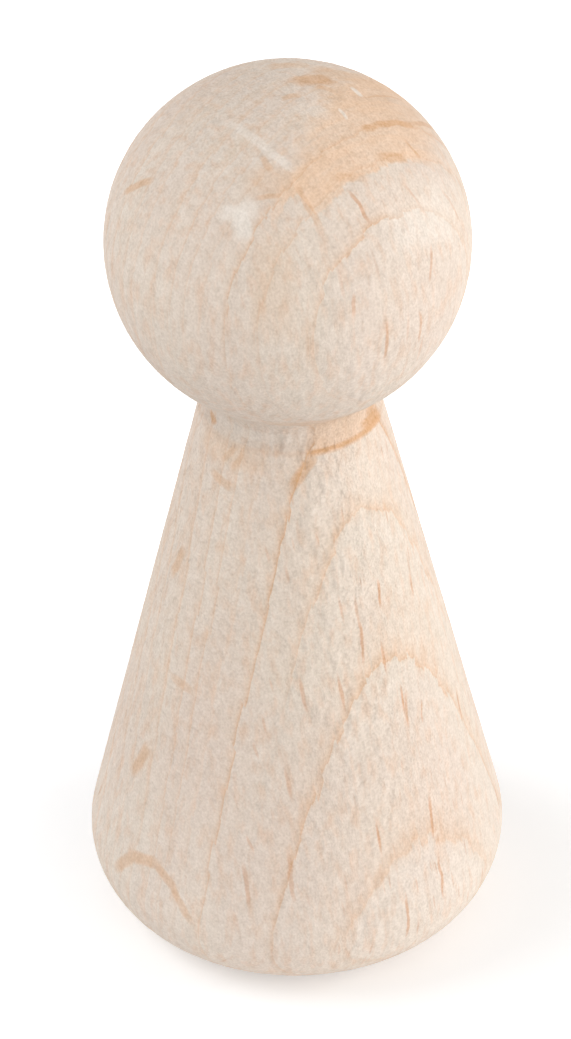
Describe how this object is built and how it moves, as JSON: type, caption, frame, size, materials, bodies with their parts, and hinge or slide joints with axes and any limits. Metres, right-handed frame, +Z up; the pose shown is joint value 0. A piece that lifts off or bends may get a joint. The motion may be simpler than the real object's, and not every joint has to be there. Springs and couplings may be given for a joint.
{
  "type": "peg doll",
  "caption": "Bare wooden peg doll turned from one piece: ball head on a short waisted neck and a cone body with a rounded foot and a flat base.",
  "frame": {"origin": "centre of the flat base, on the surface that the doll stands on", "axes": "+Z up along the turning axis, from the base to the crown; the doll is round, so +X and +Y differ only in how the wood's growth rings lie"},
  "size_m": [0.022, 0.022, 0.05],
  "materials": {
    "sanded_wood": "bare, finely sanded, matt"
  },
  "bodies": {
    "root": {"turned_doll": "sanded_wood"}
  },
  "joints": []
}
